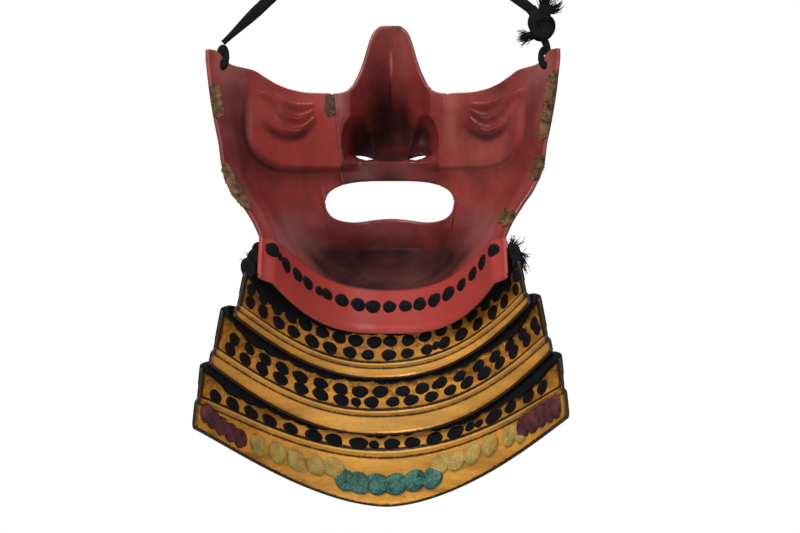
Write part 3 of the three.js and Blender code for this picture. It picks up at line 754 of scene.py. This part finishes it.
# ---------- the throat guard ----------
def make_lame(lame):
    """A lame's sheet on a grid whose rows crowd towards its hem, with a wall. It is darkened by
    grime and painted shade on both sides of the ridge, along its edges, under the lacing at its top
    and over its upper field, with a painted highlight on the ridge and on its lower border."""
    columns = np.linspace(-1, 1, 221)
    hem = lame["hem"][0]
    rows = np.concatenate([np.linspace(0, hem - 0.1, 16), np.linspace(hem - 0.1, hem + 0.2, 40),
                           np.linspace(min(hem + 0.2, 0.92), 1, 16)])
    rows = np.unique(np.round(np.clip(rows, 0, 1), 4))
    column, down = np.meshgrid(columns, rows)
    sheet = lame_surface(lame, column, down)
    off = down - hem - lame["hem"][1] * column**2
    # Grime and painted shade: darker either side of the ridge, at the top under the lacing, at the
    # foot and ends, and over the upper field.
    grime_and_shade = (hump(off + 0.055, 0.05) + 0.9 * hump(off - 0.055, 0.035) + 0.75 * step(0.1, 0.0, down)
             + 0.9 * step(0.97, 0.995, down) + 0.8 * step(0.975, 0.995, np.abs(column))
             + 0.45 * step(-0.05, -0.35, off))
    # Painted highlight: a glint along the ridge and a lit lower border, less low on the lowest
    # lame.
    painted_highlight = hump(off + 0.012, 0.028) + 0.5 * step(0.05, 0.09, off) * step(1, 0.9, down)
    if lame is LAMES[2]:
        painted_highlight = painted_highlight * (0.4 + 0.6 * step(0.5, 0.42, down))
    points, faces, marks = weld([sheet], {"grime_and_shade": grime_and_shade.ravel(), "painted_highlight": painted_highlight.ravel()})
    points, faces, marks = thicken(points, faces, GILT_PLATE, marks)
    marks["grime_and_shade"] = np.clip(marks["grime_and_shade"] + marks["edge"], 0, 1)
    marks["painted_highlight"] = np.clip(marks["painted_highlight"] - marks["edge"] - marks["outer"], 0, 1)
    piece = make_object("gilt_" + lame["name"], points, faces, marks=marks)
    return finish_piece(piece, gilt, "gilt", lame["name"])


def round_grid(cells):
    """A square grid pressed into a round disc: u (1 - v^2 / 2)^0.5 and v (1 - u^2 / 2)^0.5."""
    u, v = np.meshgrid(np.linspace(-1, 1, cells), np.linspace(-1, 1, cells))
    return u * np.sqrt(1 - v * v / 2), v * np.sqrt(1 - u * u / 2)


def scale_at(surface, column, down, nudge=1e-3):
    """Millimetres for each unit of column and of down at a place on a surface."""
    across = surface(column + nudge, down) - surface(column - nudge, down)
    along = surface(column, down + nudge) - surface(column, down - nudge)
    return [np.linalg.norm(way, axis=-1) / (2 * nudge) for way in (across, along)]


def copies(faces, count, points_each):
    """The faces of one shape, repeated for count shapes that lie one after the other."""
    first = (np.arange(count) * points_each)[:, None, None]
    return (faces[None] + first).reshape(-1, faces.shape[1])


def domes(surface, centres, wide, high, rise, cells=19, seed=1, skirt=0.84, rough=0.055):
    """Low uneven mounds of thread on a surface: each is an oval about its own centre, rising
    as (1 - r^2.6)^0.5, with its rim sunk into the plate. centres are (column, down). The ovals
    lengthen towards the row's ends, where the laces pass through at a slant."""
    random = np.random.default_rng(seed)
    centres = np.asarray(centres, float)
    count = len(centres)
    disc_u, disc_v = round_grid(cells)
    r = np.hypot(disc_u, disc_v)[None]
    angle = np.arctan2(disc_v, disc_u)[None]
    phase = random.uniform(0, 6.28, (3, count, 1, 1))
    bend = 1 + rough * (np.sin(2 * angle + phase[0]) * 0.6 + np.sin(3 * angle + phase[1]) * 0.6
                        + np.sin(5 * angle + phase[2]) * 0.35)
    scale = random.uniform(0.88, 1.1, (count, 1, 1))
    lean = HALF_SWEEP * centres[:, 0]
    facing = np.cos(lean) / np.hypot(np.cos(lean), 1.75 * np.sin(lean))
    wide = (np.broadcast_to(wide, (count,)) * np.minimum(facing**-0.7, 1.4))[:, None, None]
    high = np.broadcast_to(high, (count,))[:, None, None]
    c, d = centres[:, 0][:, None, None], centres[:, 1][:, None, None]
    across, along = scale_at(surface, c, d)
    column = c + disc_u[None] * bend * scale * wide / 2 / across
    down = np.clip(d + disc_v[None] * bend * scale * high / 2 / along, 0.0, 1.0)
    braid = 0.12 * (np.sin(9 * disc_u + 5 * disc_v) + np.sin(9 * disc_u - 5 * disc_v))[None]
    lift = rise * (np.clip(1 - (r / skirt) ** 2.6, 0, 1) ** 0.5) * (1 + braid)
    lift = lift + 0.06 - 0.35 * step(skirt, 1.0, r)
    points = surface(column, down, -lift).reshape(-1, 3)
    faces = copies(grid_faces(cells, cells), count, cells * cells)
    skirts = np.broadcast_to(step(skirt - 0.14, skirt + 0.06, r), column.shape).ravel()
    return points, faces, skirts


def lace_row(first, last, count, down, droop=0.0, seed=0):
    """Evenly spaced places for laces along a row, a little uneven. droop lifts the row's ends
    by droop times the column squared."""
    random = np.random.default_rng(seed)
    column = np.linspace(first, last, count) + random.uniform(-0.006, 0.006, count)
    return list(zip(column, down - droop * column**2 + random.uniform(-0.008, 0.008, count)))


def make_laces(name, surface, rows, small, wide, high, rise):
    """Rows of laces where they pass through to the inner face, with a few smaller ones."""
    centres = [place for row in rows for place in row]
    sizes = np.concatenate([np.full(len(centres), wide), np.full(len(small), wide * 0.6)])
    heights = np.concatenate([np.full(len(centres), high), np.full(len(small), high * 0.75)])
    points, faces, skirts = domes(surface, centres + list(small), sizes, heights, rise)
    piece = make_object(name, points, faces, marks={"skirt": skirts}, smooth_angle=0)
    return finish_piece(piece, black_silk, "black_lacing")


# lacing folded over each lame's upper edge: how far down its inner leg reaches in the middle
# and how much further at the ends, how far its outer leg reaches, and the number of laces
CURTAINS = (("lacing_1", 0, (0.245, 0.11), 0.42, 23), ("lacing_2", 1, (0.185, 0.05), 0.50, 26),
            ("lacing_3", 2, (0.12, 0.06), 0.25, 30))
GAP, LACE = 0.3, 1.5


def make_curtain(name, lame, inner, outer, laces):
    """Side-by-side flat laces: one section of 13 points, from the inner leg's foot over the
    lame's edge to the outer leg's foot and back, carried along the lame. pulse is
    |sin(pi n t)|^0.45, 1 in each lace's middle, where it bulges and hangs a little lower."""
    columns = np.linspace(-0.99, 0.99, 421)
    pulse = np.abs(np.sin(np.pi * laces * (columns + 1) / 2)) ** 0.45
    wander = 0.018 * np.sin(17 * columns + lame) + 0.012 * np.sin(41 * columns + 2 * lame)
    thick = LACE * (0.62 + 0.38 * pulse)
    near, far = -GAP, GILT_PLATE + GAP
    ends = step(0.8, 1, np.abs(columns))
    back = thick * (1 - 0.7 * ends)
    side = np.abs(columns)
    raised = 0.40 if lame == 0 else 0.14
    top = 0.035 * pulse + raised * step(0.6, 0.9, side) * step(1.02, 0.93, side)
    foot = inner[0] + inner[1] * columns**2 + 0.035 * (pulse - 0.6) + wander
    foot = np.maximum(foot * (1 - 0.8 * step(0.8, 0.98, side)), 0.03)
    zero = np.zeros_like(columns)
    section = [(near - thick, foot), (near - thick, foot * 0.5), (near - thick, zero - 0.01),
               (near - thick / 2, -0.03 - top), (zero + (near + far) / 2, -0.045 - top),
               (far + back / 2, -0.03 - top), (far + back, zero - 0.01),
               (far + back, outer / 2 + zero), (far + back, outer + zero),
               (far + zero, outer + zero), (far + zero, zero - 0.006),
               (near + zero, zero - 0.006), (near + zero, foot)]
    out = np.stack([a for a, _ in section], -1)
    down = np.stack([b for _, b in section], -1)
    points = lame_surface(LAMES[lame], columns[:, None], down, out, plain=True)
    size = len(section)
    faces = grid_faces(len(columns), size, wrap=True)
    caps = np.stack([np.arange(size), (len(columns) - 1) * size + np.arange(size)[::-1]])
    piece = make_object("silk_" + name, points.reshape(-1, 3), [faces, caps])
    return finish_piece(piece, black_silk, "black_lacing", name)


def make_knots(name, material, slot, places, wide, high, rise, threads, slant, fluff, seed):
    """Ornamental knots in silk on the lowest lame: each a round pad of threads lying in a
    chevron about its middle. threads is how many cross a pad, slant their lean and fluff how
    uneven they are."""
    random = np.random.default_rng(seed)
    cells = 45
    du, dv = round_grid(cells)
    r = np.hypot(du, dv)
    chunks = []
    lame = LAMES[2]
    for number, (c, d) in enumerate(places):
        across, along = scale_at(lambda column, down: lame_surface(lame, column, down), c, d)
        phase = random.uniform(0, 6.28)
        waves = threads * (dv + slant * np.abs(du) + 0.1 * np.sin(3 * du + phase))
        ridges = np.abs(np.sin(waves)) ** 0.6
        ragged = (1 + 0.018 * np.sin(5 * np.arctan2(dv, du) + phase)
                  + 2 * fluff * random.uniform(-1, 1, r.shape) * step(0.7, 1, r))
        height = rise * np.clip(1 - r**3, 0, 1) ** 0.5 * (0.82 + 0.18 * ridges)
        height = height * (1 - 0.12 * hump(du, 0.12)) + fluff * 3 * random.uniform(-1, 1, r.shape)
        lift = height - 0.3 * step(0.9, 1, r)
        column = c + du * ragged * wide / 2 / across
        down = np.clip(d + dv * ragged * high / 2 / along, 0, 1)
        chunks.append(lame_surface(lame, column, down, -lift, plain=True).reshape(-1, 3))
        if number % 2:
            chunks[-1][:, 1] -= 0.15
    faces = copies(grid_faces(cells, cells), len(places), cells * cells)
    # the border of the lame stands 1 mm out behind its hem, so the pads are set out with it
    points = np.concatenate(chunks)
    points[:, 1] += HEM_STEP
    piece = make_object("silk_" + name, points, faces, smooth_angle=0)
    return finish_piece(piece, material, slot, name)


# ---------- cord ----------
CORD_THICKNESS = 1.8
EAR_LOOP_FOOT = 60.5
TOWARDS_FACE, NEARLY_TOWARDS_FACE = (0, 1, 0), (0.05, 1, 0.02)
CORD_ROUTE = ((-73.8, 71.6), (-41.4, 102), (-9, 132.4), (-4.2, 137.4), (0, 138.9), (4.2, 137.4),
              (9, 132.4), (38.8, 109.2), (68.6, 86))


def run(points):
    """How far along the line each of its points is."""
    return np.concatenate([[0], np.cumsum(np.linalg.norm(np.diff(points, axis=0), axis=1))])


def route(points, count):
    """A smooth line through points, evenly stepped by the share of its length."""
    points = np.asarray(points, float)
    far = run(points)
    at = np.linspace(0, far[-1], count)
    return np.stack([smooth(list(zip(far, column)), at) for column in points.T], -1)


def flat_cord(centres, widths, thickness, broad, around=20, weave=0.16):
    """A woven tape along a line: an oval section whose broad way is square to the line in the
    plane across the given direction, with a herringbone of raised threads on it."""
    ahead = unit(np.gradient(centres, axis=0))
    wide = unit(np.cross(ahead, np.broadcast_to(np.asarray(broad, float), centres.shape)))
    thin = np.cross(wide, ahead)
    turn = np.linspace(0, 2 * np.pi, around, endpoint=False)
    a = np.sign(np.cos(turn)) * np.abs(np.cos(turn)) ** 0.8
    b = np.sign(np.sin(turn)) * np.abs(np.sin(turn)) ** 0.8
    far = run(centres)[:, None]
    thread = weave * np.abs(np.sin(3.4 * far + 4.5 * np.abs(a)[None])) * np.abs(b)[None]
    half_wide = (np.broadcast_to(widths, (len(centres),)) / 2)[:, None]
    half_thick = np.broadcast_to(thickness, (len(centres),))[:, None] / 2 + thread
    points = (centres[:, None] + wide[:, None] * (half_wide * a[None])[..., None]
              + thin[:, None] * (half_thick * b[None])[..., None])
    faces = grid_faces(len(centres), around, wrap=True)
    last = (len(centres) - 1) * around
    caps = np.stack([np.arange(around)[::-1], last + np.arange(around)])
    return points.reshape(-1, 3), faces, caps


def strands(starts, ends, radius, sag, seed, steps=7, around=4):
    """Loose threads, each a thin tapering tube from its start to its end with a random bow."""
    random = np.random.default_rng(seed)
    starts, ends = np.asarray(starts, float), np.asarray(ends, float)
    count = len(starts)
    t = np.linspace(0, 1, steps)[None, :, None]
    bow = random.normal(0, sag, (count, 1, 3))
    curl = random.normal(0, sag * 0.4, (count, 1, 3))
    path = (starts[:, None] * (1 - t) + ends[:, None] * t + bow * np.sin(np.pi * t * 0.8)
            + curl * np.sin(2 * np.pi * t))
    ahead = unit(np.gradient(path, axis=1))
    one = unit(np.cross(ahead, np.array([0.31, 0.2, 0.93])))
    two = np.cross(ahead, one)
    turn = np.linspace(0, 2 * np.pi, around, endpoint=False)
    thick = radius * (1 - 0.6 * t[..., None])
    points = (path[:, :, None] + one[:, :, None] * (np.cos(turn)[:, None] * thick)
              + two[:, :, None] * (np.sin(turn)[:, None] * thick)).reshape(-1, 3)
    block = steps * around
    faces = copies(grid_faces(steps, around, wrap=True), count, block)
    ends = np.stack([np.arange(around)[::-1], block - around + np.arange(around)])
    caps = copies(ends, count, block)
    return points, faces, caps


def joined(parts):
    """Several (points, quads, caps) as one."""
    offset, points, quads, caps = 0, [], [], []
    for p, q, c in parts:
        points.append(p)
        quads.append(q + offset)
        caps.append(c + offset)
        offset += len(p)
    return np.concatenate(points), [np.concatenate(quads)] + caps


def make_cord():
    """The woven tape along its route, narrower where it is pulled tight at its two ends and
    over the hook. Returns the piece, its middle line in metres and its length."""
    line = route([(x, HANG_POINT[1], z) for x, z in CORD_ROUTE], 420)
    share = np.linspace(0, 1, 420)
    widths = (5.4 - 2.8 * step(0.12, 0.0, share) - 0.9 * hump(share - 0.48, 0.3)
              - 0.8 * step(0.93, 1, share))
    points, quads, caps = flat_cord(line, widths, CORD_THICKNESS, TOWARDS_FACE)
    piece = make_object("woven_cord", points, [quads, caps])
    finish_piece(piece, black_cord, "black_cord", "hanging_cord")
    path = (line - HANG_POINT) * MM
    return piece, path, float(run(path)[-1])


def ear_loop(hand, top, reach, width):
    """The cord's turn through an ear hole and over the edge above it: an upright ellipse."""
    angle = np.linspace(0, 2 * np.pi, 60)
    middle = (top + EAR_LOOP_FOOT) / 2
    line = np.stack([(73.9 + reach * np.cos(angle)) * hand, 8.6 + 1.2 * np.sin(angle),
                     middle + (top - middle) * np.sin(angle)], -1)
    return flat_cord(line, width, 3.2, TOWARDS_FACE, 16)


def fray(root, reach, spread, count, seed):
    """The loose ends of a cut tape: starts close about a root, ends spread about a reach."""
    random = np.random.default_rng(seed)
    starts = np.asarray(root) + random.normal(0, 1, (count, 3)) * np.asarray(spread) * 0.35
    ends = starts + np.asarray(reach) + random.normal(0, 1, (count, 3)) * np.asarray(spread)
    return strands(starts, ends, 0.24, 0.5, seed)


def arc_band(centre, radius_x, radius_z, tilt, start, end, width, depth, lift=0.0):
    """A turn of the tape: part of an ellipse in the XZ plane, tilted, bowed in Y by lift."""
    angle = np.radians(np.linspace(start, end, 40))
    x, z = radius_x * np.cos(angle), radius_z * np.sin(angle)
    turn = math.radians(tilt)
    line = np.stack([centre[0] + x * math.cos(turn) - z * math.sin(turn),
                     centre[1] - lift * np.sin((angle - angle[0]) / (angle[-1] - angle[0]) * np.pi),
                     centre[2] + x * math.sin(turn) + z * math.cos(turn)], -1)
    return flat_cord(line, width, depth, NEARLY_TOWARDS_FACE, 14)


def make_cord_pieces():
    """The ear loops, the knot near the right ear and the frayed ends, each in its own piece."""
    def finished(name, parts, node):
        """One piece of black cord from its parts, in place of its node."""
        points, faces = joined(parts)
        return finish_piece(make_object(name, points, faces), black_cord, "black_cord", node)

    left, right = ear_loop(-1, 69.4, 1.5, 3.2), ear_loop(1, 68.5, 1.7, 2.8)
    # the knot: the tape coming down into it, four turns, its other end, and its way to the ear
    knot = [flat_cord(route([(70.4, 8, 85), (72.6, 8, 80), (74.4, 8, 74.5)], 30), 7.6, 4.6,
                      TOWARDS_FACE, 20),
            arc_band((72.0, 6.2, 79.5), 3.6, 4.8, 20, 60, 300, 4.2, 2.6, 1.6),
            arc_band((73.0, 9.2, 78.2), 3.4, 4.4, -35, -120, 130, 4.4, 2.6, -1.2),
            arc_band((72.2, 7.8, 78.4), 2.2, 4.4, 50, 0, 200, 5.0, 3.0, 2.2),
            arc_band((71.6, 7.0, 80.5), 3.8, 2.0, 12, 20, 200, 3.6, 3.4, 1.4),
            flat_cord(route([(67.6, 8, 87), (70, 7.4, 83.5), (71.4, 7, 80)], 30), 5.2, 2.6,
                      TOWARDS_FACE, 16),
            flat_cord(route([(69.5, 8, 77.5), (72.2, 7.2, 74.5), (74.6, 8, 70.5), (75.4, 8.8, 66)],
                            50), 3.4, 2.0, TOWARDS_FACE, 16)]
    upper = [flat_cord(route([(72.5, 8, 82), (74, 7.5, 86), (74.6, 7.5, 88.5)], 24), 6.4, 3.2,
                       TOWARDS_FACE, 16),
             fray((73.8, 7.5, 88), (0.6, 0.2, 5.5), (1.9, 1.0, 1.3), 90, 11),
             fray((76, 7.5, 85.5), (4.2, 0.2, 2.6), (1.3, 1.0, 1.5), 60, 12)]
    lower = [flat_cord(route([(71, 8, 76), (68, 7.6, 74.6), (66.4, 7.6, 74)], 24), 4.2, 2.8,
                       TOWARDS_FACE, 16),
             fray((66.4, 7.6, 74), (-3.4, 0.1, -0.6), (0.8, 1.0, 1.5), 80, 13)]
    return [finished("woven_ear_loop_left", [left], "ear_loop_left"),
            finished("woven_ear_loop_right", [right], "ear_loop_right"),
            finished("woven_knot", knot, "cord_knot"),
            finished("frayed_end_upper", upper, "cord_end_upper"),
            finished("frayed_end_lower", lower, "cord_end_lower")]


def make_frayed_lacing():
    """Worn lacing at the top corners of the first lame: soft folded loops on one side and a
    teased tuft on the other."""
    loops = [arc_band((-61.4, 3.0, -32.0), 1.7, 3.2, 15, -60, 230, 3.8, 3.0, 0.8),
             arc_band((-59.0, 3.4, -27.0), 1.5, 2.6, -20, -90, 200, 3.6, 3.0, 0.9),
             arc_band((-57.4, 4.4, -23.0), 1.2, 1.8, -20, -90, 200, 3.0, 3.0, 0.9),
             arc_band((59.8, 3.4, -25.0), 1.5, 2.8, 10, -80, 220, 3.6, 3.0, 0.8),
             fray((61.5, 3.4, -25.5), (1.8, -0.3, -4.5), (1.7, 1.0, 2.6), 110, 31),
             fray((58.5, 3.2, -22.5), (1.2, -0.3, 2.2), (1.6, 0.8, 1.5), 60, 32),
             fray((-60.5, 3.2, -28.5), (-0.8, -0.3, 1.0), (1.4, 0.8, 1.8), 40, 33)]
    points, faces = joined(loops)
    return finish_piece(make_object("frayed_lacing", points, faces), black_silk, "black_lacing")


# ---------- camera, light and ground ----------
SIGHT_TURN = math.radians(2.3)
SIGHT_DISTANCE = 1500.0
PICTURE_WIDTH = 364.8
SIGHT_SIDE = -7.98
SIGHT_HEIGHT = -31.1
SENSOR_WIDTH = 36
FLOOR_HALF_WIDTH, FLOOR_HEIGHT = 6.0, -1.0
ROOM_LIGHT = 0.27
WHITE, PALE_GREY = (1, 1, 1, 1), (0.42, 0.42, 0.42, 1)
LIGHTS_AIM = (0, 0.05, -0.17)
LIGHTS = (("key softbox", (-0.9, -1.6, 0.9), (0.7, 0.7), 37),
          ("fill softbox", (1.3, -1.5, 0.2), (1.2, 1.2), 14),
          ("top softbox", (0, 0.3, 1.2), (1.6, 1.2), 18))


def placed(name, data):
    """A new object in the scene."""
    thing = bpy.data.objects.new(name, data)
    bpy.context.collection.objects.link(thing)
    return thing


def make_camera():
    """A level camera 1.5 m from the guard, turned a little to one side, whose lens takes in
    the picture's width at that distance."""
    data = bpy.data.cameras.new("camera")
    data.sensor_width = SENSOR_WIDTH
    data.lens = SENSOR_WIDTH * SIGHT_DISTANCE / PICTURE_WIDTH
    data.clip_start, data.clip_end = 0.01, 100
    camera = placed("camera", data)
    ahead = np.array([-math.sin(SIGHT_TURN), math.cos(SIGHT_TURN), 0])
    right = np.array([math.cos(SIGHT_TURN), math.sin(SIGHT_TURN), 0])
    place = -SIGHT_DISTANCE * ahead - SIGHT_SIDE * right + np.array([0, 0, SIGHT_HEIGHT])
    camera.location = (place - HANG_POINT) * MM
    camera.rotation_euler = (math.radians(90), 0, SIGHT_TURN)
    bpy.context.scene.camera = camera


def area_light(name, place, size, power):
    """A soft rectangular light, turned towards the middle of the guard."""
    data = bpy.data.lights.new(name, "AREA")
    data.shape = "RECTANGLE"
    data.size, data.size_y = size
    data.energy = power
    light = placed(name, data)
    light.location = place
    light.rotation_euler = (Vector(LIGHTS_AIM) - Vector(place)).to_track_quat("-Z", "Y").to_euler()


def white_to_camera(tree, shader, white, output):
    """Shows plain white to the camera, and leaves the light that reaches the guard as it is."""
    choice = tree.nodes.new("ShaderNodeMixShader")
    sight = tree.nodes.new("ShaderNodeLightPath").outputs["Is Camera Ray"]
    for source, target in ((sight, choice.inputs["Fac"]), (shader.outputs[0], choice.inputs[1]),
                           (white.outputs[0], choice.inputs[2]),
                           (choice.outputs["Shader"], tree.nodes[output].inputs["Surface"])):
        tree.links.new(source, target)


def make_floor():
    """A wide pale floor, one metre below the hook."""
    x = y = FLOOR_HALF_WIDTH
    mesh = bpy.data.meshes.new("floor")
    mesh.from_pydata([(-x, -y, FLOOR_HEIGHT), (x, -y, FLOOR_HEIGHT), (x, y, FLOOR_HEIGHT),
                      (-x, y, FLOOR_HEIGHT)], [], [(0, 1, 2, 3)])
    floor = placed("floor", mesh)
    material = bpy.data.materials.new("pale_floor")
    material.use_nodes = True
    tree = material.node_tree
    paint, white = tree.nodes["Principled BSDF"], tree.nodes.new("ShaderNodeEmission")
    paint.inputs["Base Color"].default_value = PALE_GREY
    paint.inputs["Roughness"].default_value = 0.9
    white.inputs["Color"].default_value = WHITE
    white_to_camera(tree, paint, white, "Material Output")
    mesh.materials.append(material)


def make_room():
    """Even white light from all round."""
    world = bpy.data.worlds.new("studio")
    bpy.context.scene.world = world
    world.use_nodes = True
    tree = world.node_tree
    light, white = tree.nodes["Background"], tree.nodes.new("ShaderNodeBackground")
    light.inputs["Color"].default_value = WHITE
    light.inputs["Strength"].default_value = ROOM_LIGHT
    white.inputs["Color"].default_value = WHITE
    white_to_camera(tree, light, white, "World Output")
    bpy.context.scene.view_settings.view_transform = "Standard"


# ---------- making the guard ----------
# where the knots lie on the lowest lame, as (column, down)
CREAM_LEFT = ((-0.634, 0.74), (-0.53, 0.715), (-0.439, 0.70), (-0.343, 0.66), (-0.259, 0.62))
CREAM_RIGHT = ((0.246, 0.6), (0.326, 0.63), (0.41, 0.64), (0.506, 0.65), (0.613, 0.68),
               (0.684, 0.74))
TEAL = ((-0.203, 0.75), (-0.137, 0.75), (-0.055, 0.74), (0.032, 0.74), (0.121, 0.73), (0.206, 0.75))
PURPLE_LEFT = ((-0.952, 0.70), (-0.905, 0.74), (-0.85, 0.77), (-0.79, 0.79), (-0.735, 0.80))
PURPLE_RIGHT = ((0.705, 0.68), (0.765, 0.70), (0.825, 0.71), (0.885, 0.73), (0.94, 0.74))

make_camera()
cord, cord_path, cord_length = make_cord()
on_cord = make_cord_pieces()
make_face()
make_torn_edges()
make_nose()
for lame in LAMES:
    make_lame(lame)
for curtain in CURTAINS:
    make_curtain(*curtain)

make_laces("flange_laces", flange_surface,
           [[(-0.95, 0.25)], lace_row(-0.83, -0.62, 3, 0.40, 0.09, 1),
            lace_row(-0.465, 0.948, 13, 0.40, 0.17, 2)],
           [(-0.53, 0.38), (-0.9, 0.30)], 7.8, 6.8, 1.0)
make_laces("lame_1_laces", on_lame(0),
           [lace_row(-0.93, 0.965, 19, 0.37, 0.12, 3), lace_row(-0.929, 0.925, 17, 0.60, 0.09, 4)],
           [(-0.464, 0.6), (0.29, 0.58)], 8.0, 6.4, 0.9)
make_laces("lame_2_laces", on_lame(1),
           [lace_row(-0.89, 0.93, 18, 0.335, 0.0, 5), lace_row(-0.904, -0.244, 7, 0.50, -0.06, 6),
            lace_row(-0.083, 0.95, 11, 0.50, 0.02, 8)],
           [(-0.165, 0.51), (0.258, 0.34)], 8.6, 6.4, 0.9)
make_laces("lame_3_laces", on_lame(2),
           [lace_row(-0.9, -0.145, 8, 0.23, -0.13, 7), lace_row(0.011, 0.323, 4, 0.225, 0, 9),
            lace_row(0.526, 0.853, 4, 0.22, -0.06, 10)],
           [(-0.069, 0.235), (0.401, 0.225), (0.449, 0.235)], 9.8, 6.6, 0.9)
make_frayed_lacing()
make_knots("knots_cream_left", cream_silk, "cream_silk", CREAM_LEFT,
           12.8, 10.4, 2.4, 11, 0.75, 0.0, 21)
make_knots("knots_cream_right", cream_silk, "cream_silk", CREAM_RIGHT,
           12.0, 10.0, 2.4, 11, 0.75, 0.0, 22)
make_knots("knots_teal", teal_silk, "teal_silk", TEAL, 11.6, 11.0, 2.8, 12, 0.9, 0.03, 23)
make_knots("knots_purple_left", purple_silk, "purple_silk", PURPLE_LEFT,
           10.8, 9.0, 2.8, 9, 0.9, 0.0, 24)
make_knots("knots_purple_right", purple_silk, "purple_silk", PURPLE_RIGHT,
           11.6, 10.6, 3.0, 9, 0.9, 0.0, 25)

make_floor()
for light in LIGHTS:
    area_light(*light)
make_room()
